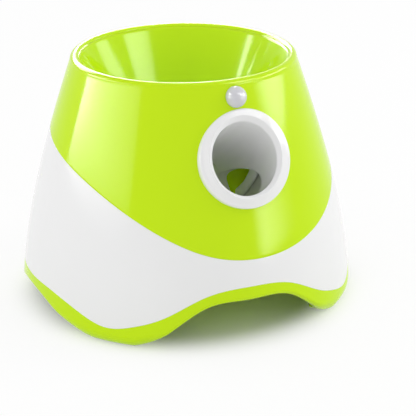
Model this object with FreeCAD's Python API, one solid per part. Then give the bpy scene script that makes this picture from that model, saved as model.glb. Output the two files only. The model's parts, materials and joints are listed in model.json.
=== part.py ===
"""Automatic dog ball launcher, in millimetres.

The origin is the centre of the base, at the surface it stands on. +Z is up and the launch tube
opens towards -Y. Angles around the body are measured from the front (-Y) towards +X.
"""
import FreeCAD, Part
import math
import os
from FreeCAD import Placement, Rotation, Vector

# ---------------------------------------------------------------- body of the launcher
BODY_R = 139.0            # largest radius of the body, near the floor
BODY_Z = 7.0              # height of that largest radius
TAPER = (0.11, 0.492, -0.179)   # how the radius shrinks with height, per TAPER_H
TAPER_H = 230.0
RIM_Z = 205.0             # top of the rim
RIM_WIDTH = 7.5           # width of the rounded rim
WALL = 2.5                # wall of the outer shells
SEAM = 0.3                # gap between two pieces that meet in one skin
SKIN_GAP = 0.1            # gap under a piece that sits on the skin
LIP = 2.2                 # wall of the lips that lap behind a seam
LIP_RISE = 5.0            # how far a lip stands past its seam

# Height of the seam between the green top and the white body, by angle from the front.
TOP_SEAM = [(-180, 156), (-121, 149), (-89, 138), (-64, 123), (-45, 105), (-30, 89), (-16, 76.5),
            (2, 70.5), (23, 76), (46, 93), (69, 114), (94, 133), (130, 149)]
# Height of the seam between the white body and the base, and of the base's lower edge, over a
# quarter of the way round; both repeat as mirror images.
BASE_TURN = -2.8          # the base's wave and its feet are turned this far
BASE_SEAM = [(0, 50), (16, 45), (30, 28.2), (40, 19.8), (49, 16), (60, 22.5), (75, 31), (90, 32)]
BASE_EDGE = [(0, 38.5), (16, 34.5), (30, 11.7), (40, 0.5), (49, -0.3), (60, 2), (75, 16), (90, 22)]

# ---------------------------------------------------------------- base
DECK_Z = 45.0             # underside of the base's deck
DECK_T = 2.6
SKIRT_T = 5.5             # skirt wall below the seam
FOOT_ROLL = 11.0          # radius that rolls the skirt under at the feet
SOLE_W = 10.0             # width of a foot's sole
SOLE_T = 3.0
PAD_T = 1.5               # rubber pad under each foot
TONGUE_IN = 3.3           # the skirt's tongue, inside the white body
TONGUE_LOW = 5.0          # where the tongue's wall starts, inside the skirt
TONGUE_STEP = 0.05        # its inner face stands this much outside the skirt's
LEDGE_W = 2.0             # ledge on the tongue that the deck rests on
LEDGE_T = 2.0
PAD_ANGLE = 47.0          # where the feet stand, from the front and the back
PAD_HALF_ANGLE = 6.0
WELL_AHEAD = 10.4         # room in the deck ahead of the launch tube, which dips into a well
WELL_BEHIND = 1.4         # room behind the tube's end cap
WELL_HALF_W = 34.0
WELL_T = 2.2
SADDLE_X = 14.0           # ribs that carry the launch tube
SADDLE_T = 3.0
SADDLE_L = 46.0

# ---------------------------------------------------------------- batteries
CELL_R = 13.0
CELL_L = 50.0
CELL_GAP = 1.0
CELL_ROWS = 3
BAY_GAP = 2.0             # room around the cells
DOOR_T = 2.5
DOOR_GAP = 0.4
CONTACT_T = 0.5
CONTACT_HALF_W = 8.0
CELL_TIP_R, CELL_TIP_L = 3.0, 2.0
RIB_HALF_L = 9.0          # ribs on the door that hold the cells
RIB_T = 2.0
TAB_HALF_W = 9.0          # tab of the door under its screw
TAB_IN = 6.0

# ---------------------------------------------------------------- hopper
HOPPER_TOP_Z = 198.5
CONE_Z = 151.0            # where the upper cone ends
CONE_DEG = 29.0           # slope of the upper cone, from upright
DRAIN_X, DRAIN_Z = -24.0, 132.0
DRAIN_BACK = 91.66        # drain behind the launch tube's mouth
DRAIN_R = 27.5
BOWL_T = 2.2
FLANGE_T = 2.2            # flange that hangs the bowl under the rim

# ---------------------------------------------------------------- launch tube and ball path
BALL_R = 25.0
LAUNCH_DEG = 40.0         # launch angle above level
MOUTH_Z = 146.7           # where the launch axis leaves the body
TUBE_R = 27.5             # bore
TUBE_T = 2.5
TUBE_END = 165.0          # along the launch axis from the mouth
CAP_T = 3.0
SPIGOT_L = 5.0            # spigot of the end cap, inside the spring
SEAT_S = 86.0             # where the ball rests, along the launch axis
CHUTE_R = 26.5
CHUTE_T = 2.2
KNEE_Z = 110.0            # where the chute turns towards the tube
CHUTE_STEP = 0.5          # the chute's upright part is this much wider
POCKET_R = 26.5           # green side pocket that opens off the tube
POCKET_T = 2.2
POCKET_L = 58.0
POCKET_S = 99.0           # where its axis meets the launch axis
POCKET_DEG = 135.0        # between that axis and the way down the tube
POCKET_TURN = 115.0       # around the tube, from its top towards +X
POCKET_X = 15.0           # the tube's floor is whole up to here
FIT = 0.2                 # gap between pieces that sleeve together
RING_R = 38.7             # outlet ring
RING_DEG = 22.0           # its face leans back
RING_PROUD = 4.0          # face in front of the body at the ring's centre
RING_BEVEL = 3.0          # bevel around the bore
RING_ROUND = 2.0
COLLAR_T = 3.8            # wall of the ring's collar, which passes through the shell

# ---------------------------------------------------------------- striker
PAD_S = SEAT_S + BALL_R   # face of the striker's rubber pad, at rest
STRIKER_PAD_T = 2.0
STRIKER_PAD_R = 18.0
STRIKER_R = 27.1
STRIKER_L = 20.0
STRIKER_FACE = 4.0
STRIKER_WALL = 3.1
STROKE = 30.0
SPRING_R = 20.0           # mean radius
SPRING_WIRE = 0.9         # wire radius
SPRING_TURNS = 6
RACK_HALF_W = 4.5
RACK_GAP = 0.7
SLOT_IN = 4.0             # the rack's slot starts this far inside the bore
RACK_PITCH_N = 33.0       # pitch line of the rack above the launch axis
RACK_LOW_N = 29.5         # underside of the rack behind the striker
RACK_START = 6.5          # first tooth behind the striker's face
RACK_PAST = 5.0           # rack past the drive gear, at rest

# ---------------------------------------------------------------- gear train
RACK_MODULE = 1.0
TRAIN_MODULE = 0.8
SECTOR_TEETH = 32
SECTOR_USED = 14          # teeth left on the sector
WHEEL_3_TEETH = 44
PINION_1_TEETH = 12
WHEEL_1_TEETH = 40
MOTOR_TEETH = 10
PRESSURE_DEG = 20.0
BACKLASH = 0.2
DRIVE_S = 153.0           # drive gear's place along the launch axis
TRAIN_DEG = 60.0          # direction from the drive gear to the idler, in the launch frame
MOTOR_DEG = -10.0         # direction from the idler to the motor
SECTOR_X = (-5.0, 5.0)
WHEEL_3_X = (6.0, 10.0)
PINION_1_X = (5.5, 11.0)
WHEEL_1_X = (12.0, 16.0)
MOTOR_PINION_X = (11.5, 16.5)
AXLE_3_R = 2.0
AXLE_1_R = 1.5
RUN = 0.05                # running clearance of gears on their axles
PLATE_X = (-9.2, 17.5)    # lower faces of the two gearbox plates
PLATE_T = 2.2
PLATE_R = 12.0
POSTS = [(131.0, 38.0), (146.0, 85.0), (192.0, 79.0)]
POST_R = 3.0
POST_HOLE = 8.0           # depth of the posts' screw holes
PLATE_RIM = 2.5           # plate around a post
SHIM = 0.3                # play of the gears between the plates
MOTOR_R = 12.0
MOTOR_L = 34.0
MOTOR_BOSS_R = 3.5
MOTOR_TAIL_R, MOTOR_TAIL_L = 4.0, 2.0
MOTOR_SHAFT_R = 1.0
MOTOR_SHAFT_IN = 6.0      # shaft inside the motor

# ---------------------------------------------------------------- sensor, panel and electronics
SENSOR_Z = 192.5
SENSOR_R = 8.9
SENSOR_T = 1.6            # wall of the dome
SENSOR_FOOT_IN = 0.75     # the dome's foot is this much narrower
SENSOR_BOARD_Z = -6.0     # front of the sensor's board, behind the skin
SENSOR_BOARD = ((-9.0, 9.0), (-9.0, 5.0))
SENSOR_BOARD_T = 1.4
ELEMENT_R, ELEMENT_L = 4.6, 4.0
PANEL_Z = 100.0           # rear control panel
PANEL_HALF_W = 34.0
PANEL_R = 13.0
PANEL_PROUD = 1.2         # face in front of the body at the panel's centre
PANEL_DEPTH = 9.0
PANEL_POST_X, PANEL_POST_R = 12.0, 2.0
PANEL_POST_IN = 4.0
BUTTON_R = 7.0
BUTTON_GAP = 0.3
BUTTON_X = 22.0
BUTTON_TRAVEL = 1.5
BUTTON_PROUD = 2.5
BUTTON_BACK = -12.0
SWITCH_BOARD_Z = -16.4    # front of the board behind the panel
SWITCH_BOARD_IN = 4.0     # board's ends inside the panel's
SWITCH_BOARD_HALF_H = 9.0
SWITCH_HALF_W = 3.0
SWITCH_GAP = 0.2
LED_R = 1.5
LED_PITCH = 6.0
LED_BACK, LED_PROUD = -9.0, 0.4
JACK_Z = 66.0
JACK_R = 4.2
JACK_BORE_R = 2.75
JACK_PIN_R = 1.0
JACK_L = 14.0
JACK_DEPTH = 10.0
JACK_PROUD = 0.6
JACK_FLANGE_R, JACK_FLANGE_T = 6.2, 1.8
BOARD_L, BOARD_W = 50.0, 66.0
BOARD_Y = -62.0           # front edge of the main board
BOARD_GAP = 11.0          # its nearest corner to the body's wall
BOARD_Z = 54.0
BOARD_T = 1.6
BOARD_POST_R = 3.0
BOARD_POST_IN = 4.0
BUZZER_R, BUZZER_H = 12.0, 7.0
BUZZER_X, BUZZER_Y = 80.0, -40.0
BUZZER_HOLE_R, BUZZER_HOLE_H = 1.5, 2.0
SCREW_R = 1.5
SCREW_HEAD_R = 3.0
SCREW_HEAD_H = 2.2
SCREW_SHORT = 1.0         # case screws end this much before their holes do
BOSS_R = 5.0
BOSS_RISE = 16.0          # bosses in the white body, above the deck
BOSS_HOLE = 3.0           # plastic left above a boss's hole

REACH = 60.0              # how far a cutting tool runs past what it cuts

X_AXIS, Y_AXIS, Z_AXIS = Vector(1, 0, 0), Vector(0, 1, 0), Vector(0, 0, 1)


# ================================================================ geometry helpers
def body_r(z):
    t = (z - BODY_Z) / TAPER_H
    return BODY_R * (1 - TAPER[0] * t - TAPER[1] * t ** 2 - TAPER[2] * t ** 3)


def wall_lean(z):
    """Angle in degrees by which the body's outward normal points above level at height z."""
    t = (z - BODY_Z) / TAPER_H
    slope = BODY_R / TAPER_H * (TAPER[0] + 2 * TAPER[1] * t + 3 * TAPER[2] * t ** 2)
    return math.degrees(math.atan(slope))


def body_edge(z_low, z_high, inset, spans=9):
    """The body's profile in the XZ plane, moved inwards by inset."""
    step = (z_high - z_low) / spans
    heights = [z_low + step * i for i in range(spans + 1)]
    spline = Part.BSplineCurve()
    spline.interpolate([Vector(body_r(z) - inset, 0, z) for z in heights])
    return spline.toShape()


def line(p, q):
    return Part.makeLine(Vector(*p), Vector(*q))


def revolve(edges):
    face = Part.Face(Part.Wire(Part.__sortEdges__(edges)))
    return solid_of(face.revolve(Vector(), Z_AXIS, 360))


def solid_of(shape):
    solid = shape if shape.ShapeType == "Solid" else Part.Solid(shape)
    if solid.Volume < 0:
        solid.reverse()
    return solid


def band(z_low, z_high, outer, inner):
    """Ring of the body's shape between two insets and two heights."""
    out_edge = body_edge(z_low, z_high, outer)
    in_edge = body_edge(z_low, z_high, inner)
    ends = [line((body_r(z) - outer, 0, z), (body_r(z) - inner, 0, z)) for z in (z_low, z_high)]
    return revolve([out_edge, in_edge] + ends)


def core(z_low, z_high, inset):
    """Everything inside the body's shape, moved inwards by inset."""
    edge = body_edge(z_low, z_high, inset)
    top, bottom = body_r(z_high) - inset, body_r(z_low) - inset
    return revolve([edge, line((top, 0, z_high), (0, 0, z_high)), line((0, 0, z_high), (0, 0, z_low)),
                    line((0, 0, z_low), (bottom, 0, z_low))])


def periodic(points):
    """Smooth height over the angle from the front in degrees, through (angle, height) points."""
    spline = Part.BSplineCurve()
    knots = [float(angle) for angle, _ in points] + [points[0][0] + 360.0]
    spline.interpolate(Points=[Vector(math.cos(math.radians(a)), math.sin(math.radians(a)), z)
                               for a, z in points], PeriodicFlag=True, Parameters=knots)
    first = knots[0]

    def height(angle):
        return spline.value((angle - first) % 360.0 + first).z
    return height


def four_fold(quarter):
    """All the way round from one quarter, mirrored, then turned with the base."""
    half = quarter + [(180 - a, z) for a, z in reversed(quarter[:-1])]
    whole = half + [(360 - a, z) for a, z in reversed(half[1:-1])]
    return [(a + BASE_TURN, z) for a, z in whole]


def ring_curve(height, shift, radius, count=96):
    """Closed curve at one radius that follows a height around the body."""
    points = []
    for i in range(count):
        turn = 360.0 * i / count
        a = math.radians(turn)
        points.append(Vector(radius * math.sin(a), -radius * math.cos(a), height(turn) + shift))
    spline = Part.BSplineCurve()
    spline.interpolate(Points=points, PeriodicFlag=True, Parameters=[float(i) for i in range(count + 1)])
    return spline.toShape()


def below(height, shift=0.0, floor=-20.0):
    """Solid ring under a wavy surface, for cutting the shells."""
    inner, outer = body_r(RIM_Z) - REACH / 2, BODY_R + REACH / 2
    top = [ring_curve(height, shift, r) for r in (inner, outer)]
    bottom = [ring_curve(lambda turn: floor, 0.0, r) for r in (inner, outer)]
    faces = [Part.makeRuledSurface(top[0], top[1]), Part.makeRuledSurface(bottom[0], bottom[1]),
             Part.makeRuledSurface(top[0], bottom[0]), Part.makeRuledSurface(top[1], bottom[1])]
    shell = Part.makeShell(faces)
    shell.sewShape()
    return solid_of(Part.Solid(Part.Shell(shell.Faces)))


def box(x, y, z):
    """Box from three (low, high) ranges."""
    size = [high - low for low, high in (x, y, z)]
    return Part.makeBox(size[0], size[1], size[2], Vector(x[0], y[0], z[0]))


def cylinder(radius, start, end):
    """Cylinder from one point to another."""
    start, end = Vector(*start), Vector(*end)
    return Part.makeCylinder(radius, (end - start).Length, start, end - start)


def through(radius, x=0.0):
    """Drill through a wall, in the wall's frame."""
    return cylinder(radius, (x, 0, -REACH / 2), (x, 0, REACH / 2))


def around(radius, angle, z):
    """Point at an angle from the front."""
    a = math.radians(angle)
    return (radius * math.sin(a), -radius * math.cos(a), z)


def grow(limits, by):
    return (limits[0] - by, limits[1] + by)


def fuse(shapes):
    return shapes[0].multiFuse(shapes[1:]).removeSplitter() if len(shapes) > 1 else shapes[0]


def wall_frame(angle, z, lean):
    """Placement on the body's surface: local X runs along the wall, Y up it and Z out of it."""
    turn = Rotation(Z_AXIS, angle)
    tilt = Rotation(X_AXIS, 90.0 - lean)
    return Placement(Vector(*around(body_r(z), angle, z)), turn.multiply(tilt))


def put(shape, placement):
    return shape.transformed(placement.toMatrix())


# The launch frame: local X runs down the tube from its mouth, Y is across it and up, Z is world X.
MOUTH = Vector(0, -body_r(MOUTH_Z), MOUTH_Z)
COS, SIN = math.cos(math.radians(LAUNCH_DEG)), math.sin(math.radians(LAUNCH_DEG))
LAUNCH = FreeCAD.Matrix(0, 0, 1, MOUTH.x,
                        COS, SIN, 0, MOUTH.y,
                        -SIN, COS, 0, MOUTH.z,
                        0, 0, 0, 1)


def launched(shape):
    return shape.transformed(LAUNCH)


def launch_point(s, n, x=0.0):
    p = LAUNCH.multVec(Vector(s, n, x))
    return (p.x, p.y, p.z)


def tube_cylinder(radius, start, end):
    return launched(cylinder(radius, (start, 0, 0), (end, 0, 0)))


# ================================================================ outer shells
top_seam, base_seam = periodic(TOP_SEAM), periodic(four_fold(BASE_SEAM))
base_edge = periodic(four_fold(BASE_EDGE))
ring_frame = wall_frame(0.0, MOUTH_Z, RING_DEG)
sensor_frame = wall_frame(0.0, SENSOR_Z, wall_lean(SENSOR_Z))
panel_frame = wall_frame(180.0, PANEL_Z, wall_lean(PANEL_Z))
jack_frame = wall_frame(180.0, JACK_Z, wall_lean(JACK_Z))
COLLAR_R = TUBE_R + COLLAR_T
RIM_ROUND_Z = RIM_Z - RIM_WIDTH / 2
RIM_IN = body_r(RIM_ROUND_Z) - RIM_WIDTH
CORE_Z = (2.0, RIM_Z - 2.0)
DRAIN_Y = MOUTH.y + DRAIN_BACK
CONE_R = RIM_IN - (HOPPER_TOP_Z - CONE_Z) * math.tan(math.radians(CONE_DEG))


def upper_shell():
    rim_out, z_round = body_r(RIM_ROUND_Z), RIM_ROUND_Z
    low = min(z for _, z in TOP_SEAM) - 5
    inner = body_r(HOPPER_TOP_Z) - WALL
    edges = [body_edge(low, z_round, 0), body_edge(low, HOPPER_TOP_Z, WALL),
             Part.Arc(Vector(rim_out, 0, z_round), Vector(rim_out - RIM_WIDTH / 2, 0, RIM_Z),
                      Vector(RIM_IN, 0, z_round)).toShape(),
             line((RIM_IN, 0, z_round), (RIM_IN, 0, HOPPER_TOP_Z)),
             line((RIM_IN, 0, HOPPER_TOP_Z), (inner, 0, HOPPER_TOP_Z)),
             line((body_r(low), 0, low), (body_r(low) - WALL, 0, low))]
    shell = revolve(edges).cut(below(top_seam, SEAM / 2))
    shell = shell.cut(tube_cylinder(COLLAR_R + FIT, -REACH, REACH))
    return shell.cut(put(through(SENSOR_R - SENSOR_FOOT_IN + SKIN_GAP), sensor_frame))


def lower_shell():
    high = max(z for _, z in TOP_SEAM) + 2 * LIP_RISE
    low = min(z for _, z in BASE_SEAM) - 5
    skin = band(low, high, 0, WALL).common(below(top_seam, -SEAM / 2)).cut(below(base_seam, SEAM / 2))
    root = band(low, high, WALL - 0.1, WALL + LIP).common(below(top_seam, -SEAM / 2))
    root = root.cut(below(top_seam, -2 * LIP_RISE))
    lip = band(low, high, WALL + FIT, WALL + LIP).common(below(top_seam, LIP_RISE))
    lip = lip.cut(below(top_seam, -LIP_RISE))
    shell = fuse([skin, root, lip])
    for angle in BOSS_ANGLES:
        boss = cylinder(BOSS_R, around(BOSS_AT, angle, DECK_Z + DECK_T), around(BOSS_AT, angle, BOSS_TOP))
        boss = boss.common(core(*CORE_Z, WALL / 2))
        shell = fuse([shell, boss]).cut(cylinder(SCREW_R, around(BOSS_AT, angle, 0),
                                                 around(BOSS_AT, angle, BOSS_TOP - BOSS_HOLE)))
    shell = shell.cut(tube_cylinder(COLLAR_R + FIT, -REACH, REACH / 3))
    shell = shell.cut(put(panel_outline(PANEL_R + FIT, -REACH / 3, REACH / 3), panel_frame))
    return shell.cut(put(through(JACK_R + FIT), jack_frame))


BOSS_ANGLES = [BASE_TURN + a for a in (PAD_ANGLE, 180 - PAD_ANGLE, 180 + PAD_ANGLE, 360 - PAD_ANGLE)]
BOSS_TOP = DECK_Z + DECK_T + BOSS_RISE
BOSS_AT = body_r(BOSS_TOP) - WALL - BOSS_R + 0.8


def cell_places():
    """(x, y) of each cell's centre; cells lie along X."""
    half = CELL_L / 2 + CONTACT_T
    first = BAY_FRONT + BAY_GAP + CELL_R
    pitch = 2 * CELL_R + CELL_GAP
    return [(side * half, first + pitch * row) for row in range(CELL_ROWS) for side in (-1, 1)]


def end_cap_y():
    """How far back the tube's end cap reaches at the deck's top face."""
    s = TUBE_END + CAP_T
    n = (DECK_Z + DECK_T - launch_point(s, 0)[2]) / COS
    return launch_point(s, n)[1]


def tube_under_y():
    """Where the tube's underside meets the deck's."""
    n = -(TUBE_R + TUBE_T)
    s = (launch_point(0, n)[2] - DECK_Z) / SIN
    return launch_point(s, n)[1]


BAY_FRONT = end_cap_y() + WELL_BEHIND + WELL_T
WELL_FRONT = tube_under_y() - WELL_AHEAD
BAY_HALF_W = CELL_L + 2 * CONTACT_T
BAY_BACK = BAY_FRONT + 2 * BAY_GAP + CELL_ROWS * (2 * CELL_R + CELL_GAP) - CELL_GAP
CELL_Z = DECK_Z - BAY_GAP - CELL_R
BAY_Z = CELL_Z - CELL_R - BAY_GAP          # top face of the battery door
WELL_FLOOR_Z = launch_point(TUBE_END + CAP_T, -(TUBE_R + TUBE_T))[2] - 0.5


def base_skirt():
    """Green band with the four feet, and the tongue that stands up behind the white body."""
    roll_z = FOOT_ROLL + PAD_T
    sole_out = body_r(FOOT_ROLL) - FOOT_ROLL
    sole_in = sole_out - SOLE_W
    high = max(z for _, z in BASE_SEAM) + 2
    turn = math.radians(45)
    mid = Vector(sole_out + FOOT_ROLL * math.sin(turn), 0, roll_z - FOOT_ROLL * math.cos(turn))
    inner_z = FOOT_ROLL + SKIRT_T
    inner_low = body_r(inner_z) - SKIRT_T
    edges = [body_edge(roll_z, high, 0, 5),
             Part.Arc(Vector(body_r(roll_z), 0, roll_z), mid, Vector(sole_out, 0, PAD_T)).toShape(),
             line((sole_out, 0, PAD_T), (sole_in, 0, PAD_T)),
             line((sole_in, 0, PAD_T), (sole_in, 0, PAD_T + SOLE_T)),
             line((sole_in, 0, PAD_T + SOLE_T), (inner_low, 0, inner_z)),
             body_edge(inner_z, high, SKIRT_T, 5),
             line((body_r(high) - SKIRT_T, 0, high), (body_r(high), 0, high))]
    skirt = revolve(edges).common(below(base_seam, -SEAM / 2)).cut(below(base_edge))
    tongue = band(TONGUE_LOW, DECK_Z + DECK_T, TONGUE_IN, SKIRT_T - TONGUE_STEP).cut(below(base_edge))
    tongue = tongue.cut(below(base_seam, -2 * LIP_RISE))
    ledge = band(DECK_Z - LEDGE_T, DECK_Z, SKIRT_T - 0.5, SKIRT_T + LEDGE_W)
    for angle in BOSS_ANGLES:
        foot, top = around(BOSS_AT, angle, 0), around(BOSS_AT, angle, REACH)
        ledge = ledge.cut(cylinder(SCREW_HEAD_R + FIT, foot, top))
    return fuse([skirt, tongue, ledge])


def base_deck():
    """Deck that rests on the skirt's ledge, with the tube's well, its saddles and the battery bay."""
    deck_r = body_r(DECK_Z + DECK_T) - SKIRT_T - FIT
    deck = cylinder(deck_r, (0, 0, DECK_Z), (0, 0, DECK_Z + DECK_T))
    t = WELL_T
    well_x, well_y = (-WELL_HALF_W, WELL_HALF_W), (WELL_FRONT, BAY_FRONT - t)
    bay_x, bay_y = (-BAY_HALF_W, BAY_HALF_W), (BAY_FRONT, BAY_BACK)
    deck = deck.cut(box(well_x, well_y, (0, 100)))
    well = box(grow(well_x, t), grow(well_y, t), (WELL_FLOOR_Z - t, DECK_Z + 0.5))
    well = well.cut(box(well_x, well_y, (WELL_FLOOR_Z, 100)))
    bay = box(grow(bay_x, t), grow(bay_y, t), (BAY_Z - DOOR_T, DECK_Z + 0.5))
    bay = bay.cut(box(bay_x, bay_y, (0, DECK_Z)))
    pieces = [deck, well, bay]
    for x in (-SADDLE_X, SADDLE_X):
        rib_x = (x - SADDLE_T / 2, x + SADDLE_T / 2)
        rib_y = (WELL_FRONT + WELL_AHEAD, WELL_FRONT + WELL_AHEAD + SADDLE_L)
        pieces.append(box(rib_x, rib_y, (WELL_FLOOR_Z - 1, DECK_Z)))
    whole = fuse(pieces).cut(tube_cylinder(TUBE_R + TUBE_T, 0, TUBE_END + CAP_T))
    posts = [cylinder(BOARD_POST_R, (x, y, DECK_Z + 1), (x, y, BOARD_Z)) for x, y in board_corners()]
    door_boss = cylinder(BOSS_R, (0, DOOR_SCREW_Y, BAY_Z - DOOR_T), (0, DOOR_SCREW_Y, DECK_Z + 1))
    door_boss = door_boss.cut(box(bay_x, bay_y, (0, DECK_Z)))
    whole = fuse([whole, door_boss] + posts)
    for angle in BOSS_ANGLES:
        whole = whole.cut(cylinder(SCREW_R, around(BOSS_AT, angle, 0), around(BOSS_AT, angle, REACH)))
    return whole.cut(cylinder(SCREW_R, DOOR_SCREW_LOW, DOOR_SCREW_TOP))


BOARD_X = -math.sqrt((body_r(BOARD_Z) - WALL - LIP - BOARD_GAP) ** 2 - BOARD_Y ** 2)


def board_corners():
    x = (BOARD_X + BOARD_POST_IN, BOARD_X + BOARD_L - BOARD_POST_IN)
    y = (BOARD_Y + BOARD_POST_IN, BOARD_Y + BOARD_W - BOARD_POST_IN)
    return [(px, py) for px in x for py in y]


DOOR_SCREW_Y = BAY_BACK + WELL_T + BOSS_R - 1.0
DOOR_SCREW_LOW = (0, DOOR_SCREW_Y, BAY_Z - 2 * DOOR_T)
DOOR_SCREW_TOP = (0, DOOR_SCREW_Y, BAY_Z + 10)


def rubber_feet():
    sole_out = body_r(FOOT_ROLL) - FOOT_ROLL
    ring = cylinder(sole_out - 1, (0, 0, 0), (0, 0, PAD_T)).cut(
        cylinder(sole_out - SOLE_W + 1, (0, 0, -1), (0, 0, PAD_T + 1)))
    feet = []
    for angle in BOSS_ANGLES:
        reach = BODY_R * 2
        sides = [Vector(*around(reach, angle + turn, -1)) for turn in (-PAD_HALF_ANGLE, PAD_HALF_ANGLE)]
        wedge = Part.Face(Part.makePolygon([Vector(0, 0, -1)] + sides + [Vector(0, 0, -1)]))
        feet.append(ring.common(wedge.extrude(Vector(0, 0, PAD_T + 2))))
    return Part.makeCompound([s for foot in feet for s in foot.Solids])


# ================================================================ hopper and ball path
def circle_wire(centre, radius, normal=Z_AXIS):
    return Part.Wire(Part.makeCircle(radius, Vector(*centre), normal))


def hopper_solid(grow):
    """Inside of the hopper, grown by the wall."""
    upper = Part.makeLoft([circle_wire((0, 0, CONE_Z), CONE_R + grow),
                           circle_wire((0, 0, HOPPER_TOP_Z), RIM_IN + grow)], True, True)
    drop = grow * 1.1
    lower = Part.makeLoft([circle_wire((DRAIN_X, DRAIN_Y, DRAIN_Z - drop), DRAIN_R + grow * 0.8),
                           circle_wire((0, 0, CONE_Z), CONE_R + grow)], True, True)
    return upper.fuse(lower)


def hopper_bowl():
    z = HOPPER_TOP_Z - SEAM / 2
    flange = cylinder(body_r(HOPPER_TOP_Z) - WALL - FIT, (0, 0, z - FLANGE_T), (0, 0, z))
    flange = flange.cut(cylinder(RIM_IN, (0, 0, 0), (0, 0, RIM_Z))).common(core(*CORE_Z, WALL + FIT))
    flange = flange.cut(put(through(SENSOR_R + FLANGE_T), sensor_frame))
    drain = cylinder(DRAIN_R, (DRAIN_X, DRAIN_Y, DRAIN_Z - REACH), (DRAIN_X, DRAIN_Y, DRAIN_Z + 1))
    sides = (-BODY_R, BODY_R)
    bowl = fuse([hopper_solid(BOWL_T).common(box(sides, sides, (DRAIN_Z - 1, z))), flange])
    return bowl.cut(hopper_solid(0.0).fuse(drain))


SEAT = launch_point(SEAT_S, 0)
KNEE = (DRAIN_X, DRAIN_Y, KNEE_Z)


def chute_solid(grow):
    """Space that a ball falls through: straight down, then across into the tube."""
    top = (DRAIN_X, DRAIN_Y, DRAIN_Z - 1.3)
    fall = cylinder(CHUTE_R + CHUTE_STEP + grow, KNEE, top)
    knee = Part.makeSphere(CHUTE_R + CHUTE_STEP + grow, Vector(*KNEE))
    across = cylinder(CHUTE_R + grow, KNEE, SEAT)
    return fuse([fall, knee, across])


def feed_chute():
    outside = tube_cylinder(TUBE_R + TUBE_T + FIT, -REACH, TUBE_END + REACH)
    chute = chute_solid(CHUTE_T).cut(chute_solid(0.0)).cut(outside)
    return max(chute.Solids, key=lambda s: s.Volume)


def launch_tube():
    tube = tube_cylinder(TUBE_R + TUBE_T, -REACH, TUBE_END).common(core(*CORE_Z, WALL + 3 * FIT))
    tube = tube.cut(tube_cylinder(TUBE_R, -2 * REACH, TUBE_END + REACH)).cut(chute_solid(0.0))
    tube = tube.cut(hopper_solid(BOWL_T + SEAM)).cut(launched(rack_slot(PAD_S + 1))).cut(pocket_solid(0.0))
    return max(tube.Solids, key=lambda s: s.Volume)


def pocket_solid(grow):
    """Inside of the side pocket, grown by its wall."""
    slant, turn = math.radians(POCKET_DEG), math.radians(POCKET_TURN)
    way = Vector(math.cos(slant), math.sin(slant) * math.cos(turn), math.sin(slant) * math.sin(turn))
    root = Vector(POCKET_S, 0, 0)
    end = root + way * POCKET_L
    whole = fuse([cylinder(POCKET_R + grow, root, end), Part.makeSphere(POCKET_R + grow, end)])
    around_all = (-2 * REACH, 3 * REACH)
    return launched(whole.common(box(around_all, around_all, (POCKET_X - grow, 2 * REACH))))


def side_pocket():
    outside = tube_cylinder(TUBE_R + TUBE_T + FIT, -REACH, TUBE_END + REACH)
    pocket = pocket_solid(POCKET_T).cut(pocket_solid(0.0)).cut(outside)
    return max(pocket.Solids, key=lambda s: s.Volume)


def rack_slot(start):
    """Slot in the tube's upper side that the rack runs in."""
    half = RACK_HALF_W + RACK_GAP
    return box((start, TUBE_END + REACH), (TUBE_R - SLOT_IN, REACH), (-half, half))


def end_cap():
    cap = cylinder(TUBE_R + TUBE_T, (TUBE_END, 0, 0), (TUBE_END + CAP_T, 0, 0))
    spigot = cylinder(SPRING_R - 3 * SPRING_WIRE, (TUBE_END - SPIGOT_L, 0, 0), (TUBE_END, 0, 0))
    return launched(fuse([cap, spigot]).cut(rack_slot(TUBE_END - SPIGOT_L)))


def outlet_ring():
    flange = put(cylinder(RING_R, (0, 0, -REACH / 2), (0, 0, RING_PROUD)), ring_frame)
    round_edges = [e for e in flange.Edges if abs(e.Length - 2 * math.pi * RING_R) < 0.1]
    round_edges.sort(key=lambda e: e.CenterOfMass.y)
    flange = flange.makeFillet(RING_ROUND, [round_edges[0]])
    flange = flange.cut(core(*CORE_Z, -SKIN_GAP))
    collar = tube_cylinder(COLLAR_R, -REACH, REACH).common(band(*CORE_Z, -RING_PROUD / 4, WALL + 2 * FIT))
    outer = mouth_ellipse(TUBE_R + 2 * RING_BEVEL, RING_PROUD + RING_BEVEL)
    inner = mouth_ellipse(TUBE_R, RING_PROUD - RING_BEVEL)
    bevel = put(Part.makeLoft([outer, inner], True, True), ring_frame)
    ring = fuse([flange, collar]).cut(tube_cylinder(TUBE_R, -REACH, REACH)).cut(bevel)
    return max(ring.Solids, key=lambda s: s.Volume)


def mouth_ellipse(radius, z):
    """Where a cylinder on the launch axis meets a plane parallel to the ring's face."""
    lean = math.radians(LAUNCH_DEG - RING_DEG)
    centre = Vector(0, z * math.tan(lean), z)
    ellipse = Part.Ellipse(centre + Y_AXIS * (radius / math.cos(lean)), centre + X_AXIS * radius, centre)
    return Part.Wire(ellipse.toShape())


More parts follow.
